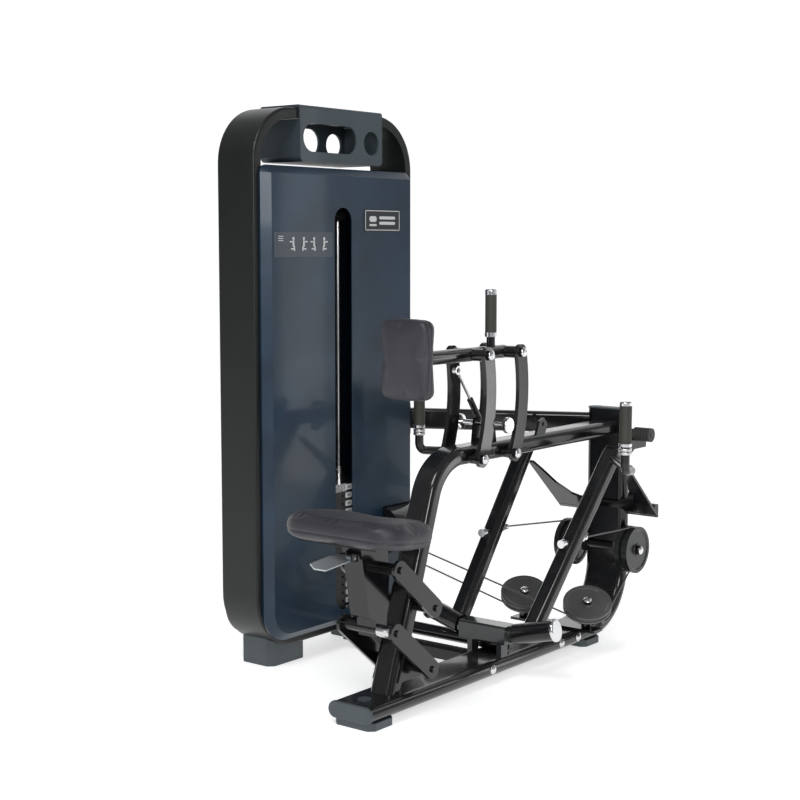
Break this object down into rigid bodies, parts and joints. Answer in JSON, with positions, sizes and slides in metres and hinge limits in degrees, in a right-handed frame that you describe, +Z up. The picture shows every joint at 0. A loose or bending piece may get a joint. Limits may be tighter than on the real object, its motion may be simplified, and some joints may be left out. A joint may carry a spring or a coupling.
{
  "type": "seated cable row",
  "caption": "Seated row machine with two swing arms, adjustable chest pad and seat, cable run over pulleys and an enclosed weight stack.",
  "frame": {"origin": "on the floor, under the middle of the whole machine's bounding box", "axes": "+Z up, +X the way the seated user faces, +Y from the seat towards the weight tower"},
  "size_m": [1.4286, 1.0399, 1.609],
  "materials": {
    "frame_black": "gloss powder coat",
    "band_black": "satin powder coat",
    "shroud_navy": "gloss",
    "cover_grey": "satin",
    "chrome": "polished",
    "plate_black": "painted",
    "rubber_black": "matt",
    "upholstery": "grained vinyl",
    "pulley_grey": "satin",
    "pulley_black": "satin",
    "cable_steel": "stranded",
    "strut_black": "gloss",
    "label_white": "matt"
  },
  "bodies": {
    "frame": {"base_rail": "frame_black", "cable_entry_guard": "frame_black", "crosshead": "frame_black", "end_caps": "cover_grey", "feet": "cover_grey", "fixed_cables": "cable_steel", "front_shroud": "shroud_navy", "guide_rods": "chrome", "info_plates": "label_white", "left_cable_span": "cable_steel", "lower_tie_guard": "frame_black", "pivot_block": "frame_black", "pulley_brackets": "frame_black", "rear_shroud": "shroud_navy", "resting_plates": "plate_black", "right_cable_span": "cable_steel", "riser_cables": "cable_steel", "rubber_roll": "rubber_black", "spine_beam": "frame_black", "stack_bumpers": "rubber_black", "stack_cable": "cable_steel", "top_cover": "cover_grey", "tower_band": "band_black", "upper_tie": "frame_black", "wing_bracket": "frame_black", "yoke_cable": "cable_steel"},
    "left_arm": {"left_swing_arm": "frame_black", "left_grip": "rubber_black", "left_arm_fittings": "chrome"},
    "right_arm": {"right_swing_arm": "frame_black", "right_grip": "rubber_black", "right_arm_fittings": "chrome"},
    "stack": {"stack_head": "plate_black", "lifted_plates": "plate_black"},
    "selector_pin": {"selector_pin": "chrome"},
    "floater": {"floating_yoke": "frame_black", "floating_cable_loop": "cable_steel"},
    "floating_pulley": {"floating_pulley": "pulley_black"},
    "left_side_pulley": {"left_side_pulley": "pulley_black"},
    "right_side_pulley": {"right_side_pulley": "pulley_black"},
    "left_floor_pulley": {"left_floor_pulley": "pulley_grey"},
    "right_floor_pulley": {"right_floor_pulley": "pulley_grey"},
    "left_entry_pulley": {"left_entry_pulley": "pulley_black"},
    "right_entry_pulley": {"right_entry_pulley": "pulley_black"},
    "tower_pulley_stack": {"tower_pulley_stack": "pulley_black"},
    "tower_pulley_outer": {"tower_pulley_outer": "pulley_black"},
    "front_links": {"front_links": "frame_black"},
    "rear_links": {"rear_links": "frame_black"},
    "pad_carrier": {"pad_carrier": "frame_black", "chest_pad": "upholstery", "centre_grip": "rubber_black", "centre_grip_fittings": "chrome"},
    "pad_strut_cylinder": {"pad_strut_cylinder": "strut_black"},
    "pad_strut_rod": {"pad_strut_rod": "chrome"},
    "pad_release_rod": {"pad_release_rod": "chrome"},
    "seat_upper_links": {"seat_upper_links": "frame_black"},
    "seat_lower_links": {"seat_lower_links": "frame_black"},
    "seat_carrier": {"seat_carrier": "frame_black", "seat_pad": "upholstery"},
    "seat_paddle": {"seat_paddle": "chrome"}
  },
  "joints": [
    {"name": "left_arm_swing", "type": "hinge", "parent": "frame", "child": "left_arm", "pos_m": [0.01628, -0.078, 0.13], "axis": [-0.1361, -0.9686, -0.2079], "range_deg": [0, 45]},
    {"name": "right_arm_swing", "type": "hinge", "parent": "frame", "child": "right_arm", "pos_m": [0.01628, -0.222, 0.13], "axis": [0.1361, -0.9686, 0.2079], "range_deg": [0, 46]},
    {"name": "stack_lift", "type": "slide", "parent": "frame", "child": "stack", "axis": [0, 0, 1], "range_m": [0, 0.25], "deforming": ["stack_cable"]},
    {"name": "floater_drop", "type": "slide", "parent": "frame", "child": "floater", "axis": [0, 0, -1], "range_m": [0, 0.25], "deforming": ["yoke_cable", "riser_cables"]},
    {"name": "selector_pin_pull", "type": "slide", "parent": "stack", "child": "selector_pin", "axis": [0, -1, 0], "range_m": [0, 0.045]},
    {"name": "floating_pulley_spin", "type": "hinge", "parent": "floater", "child": "floating_pulley", "pos_m": [0.22028, 0.395, 1.12], "axis": [0, 1, 0], "continuous": true},
    {"name": "left_side_pulley_spin", "type": "hinge", "parent": "frame", "child": "left_side_pulley", "pos_m": [0.64228, -0.042, 0.277], "axis": [0, -1, 0], "range_deg": [0, 208]},
    {"name": "right_side_pulley_spin", "type": "hinge", "parent": "frame", "child": "right_side_pulley", "pos_m": [0.64228, -0.258, 0.277], "axis": [0, -1, 0], "range_deg": [0, 208]},
    {"name": "left_floor_pulley_spin", "type": "hinge", "parent": "frame", "child": "left_floor_pulley", "pos_m": [0.37528, -0.039, 0.153], "axis": [-0.42, -0.29, 0.86], "range_deg": [0, 208]},
    {"name": "right_floor_pulley_spin", "type": "hinge", "parent": "frame", "child": "right_floor_pulley", "pos_m": [0.37528, -0.261, 0.153], "axis": [-0.42, -0.29, 0.86], "range_deg": [0, 208]},
    {"name": "left_entry_pulley_spin", "type": "hinge", "parent": "frame", "child": "left_entry_pulley", "pos_m": [0.17528, 0.335, 0.34], "axis": [-1, 0, 0], "range_deg": [0, 253]},
    {"name": "right_entry_pulley_spin", "type": "hinge", "parent": "frame", "child": "right_entry_pulley", "pos_m": [0.26528, 0.335, 0.34], "axis": [-1, 0, 0], "range_deg": [0, 253]},
    {"name": "tower_pulley_stack_spin", "type": "hinge", "parent": "frame", "child": "tower_pulley_stack", "pos_m": [0.01528, 0.395, 1.33], "axis": [0, 1, 0], "range_deg": [0, 344]},
    {"name": "tower_pulley_outer_spin", "type": "hinge", "parent": "frame", "child": "tower_pulley_outer", "pos_m": [0.17528, 0.395, 1.33], "axis": [0, 1, 0], "range_deg": [0, 344]},
    {"name": "pad_links_swing", "type": "hinge", "parent": "frame", "child": "front_links", "pos_m": [-0.10272, -0.15, 0.637], "axis": [0, 1, 0], "range_deg": [-12, 12]},
    {"name": "rear_links_swing", "type": "hinge", "parent": "frame", "child": "rear_links", "pos_m": [0.05628, -0.15, 0.637], "axis": [0, 1, 0], "range_deg": [-12.5, 12.5]},
    {"name": "pad_carrier_level", "type": "hinge", "parent": "front_links", "child": "pad_carrier", "pos_m": [-0.07672, -0.15, 0.917], "axis": [0, 1, 0], "range_deg": [-12.5, 12.5]},
    {"name": "pad_strut_turn", "type": "hinge", "parent": "frame", "child": "pad_strut_cylinder", "pos_m": [0.06028, -0.11, 0.684], "axis": [0, 1, 0], "range_deg": [-12, 12]},
    {"name": "pad_strut_stroke", "type": "slide", "parent": "pad_strut_cylinder", "child": "pad_strut_rod", "axis": [-0.6027, 0, 0.798], "range_m": [-0.036, 0.036]},
    {"name": "pad_release_push", "type": "slide", "parent": "frame", "child": "pad_release_rod", "axis": [0, 1, 0], "range_m": [-0.006, 0.006], "stiffness_N_per_m": 400},
    {"name": "seat_links_swing", "type": "hinge", "parent": "frame", "child": "seat_lower_links", "pos_m": [-0.36072, -0.15, 0.118], "axis": [0, 1, 0], "range_deg": [-20, 18]},
    {"name": "seat_upper_links_swing", "type": "hinge", "parent": "frame", "child": "seat_upper_links", "pos_m": [-0.34672, -0.15, 0.277], "axis": [0, 1, 0], "range_deg": [-20.5, 18.5]},
    {"name": "seat_carrier_level", "type": "hinge", "parent": "seat_lower_links", "child": "seat_carrier", "pos_m": [-0.51072, -0.15, 0.243], "axis": [0, 1, 0], "range_deg": [-18.5, 20.5]},
    {"name": "seat_paddle_lift", "type": "hinge", "parent": "seat_carrier", "child": "seat_paddle", "pos_m": [-0.59672, -0.15, 0.44], "axis": [0, 1, 0], "range_deg": [0, 10], "stiffness_Nm_per_rad": 1.5}
  ],
  "couplings": [
    {"joint": "right_arm_swing", "follows": "left_arm_swing", "ratio": 1},
    {"joint": "stack_lift", "follows": "left_arm_swing", "m_per_rad": 0.31},
    {"joint": "floater_drop", "follows": "left_arm_swing", "m_per_rad": 0.31},
    {"joint": "left_side_pulley_spin", "follows": "left_arm_swing", "ratio": 4.572},
    {"joint": "right_side_pulley_spin", "follows": "left_arm_swing", "ratio": 4.572},
    {"joint": "left_floor_pulley_spin", "follows": "left_arm_swing", "ratio": 4.572},
    {"joint": "right_floor_pulley_spin", "follows": "left_arm_swing", "ratio": 4.572},
    {"joint": "left_entry_pulley_spin", "follows": "left_arm_swing", "ratio": 5.556},
    {"joint": "right_entry_pulley_spin", "follows": "left_arm_swing", "ratio": 5.556},
    {"joint": "tower_pulley_stack_spin", "follows": "left_arm_swing", "ratio": 7.598},
    {"joint": "tower_pulley_outer_spin", "follows": "left_arm_swing", "ratio": 7.598},
    {"joint": "rear_links_swing", "follows": "pad_links_swing", "ratio": 1},
    {"joint": "pad_carrier_level", "follows": "pad_links_swing", "ratio": -1},
    {"joint": "pad_strut_turn", "follows": "pad_links_swing", "ratio": 0.748},
    {"joint": "pad_strut_stroke", "follows": "pad_links_swing", "m_per_rad": -0.158},
    {"joint": "seat_upper_links_swing", "follows": "seat_links_swing", "ratio": 1},
    {"joint": "seat_carrier_level", "follows": "seat_links_swing", "ratio": -1}
  ]
}
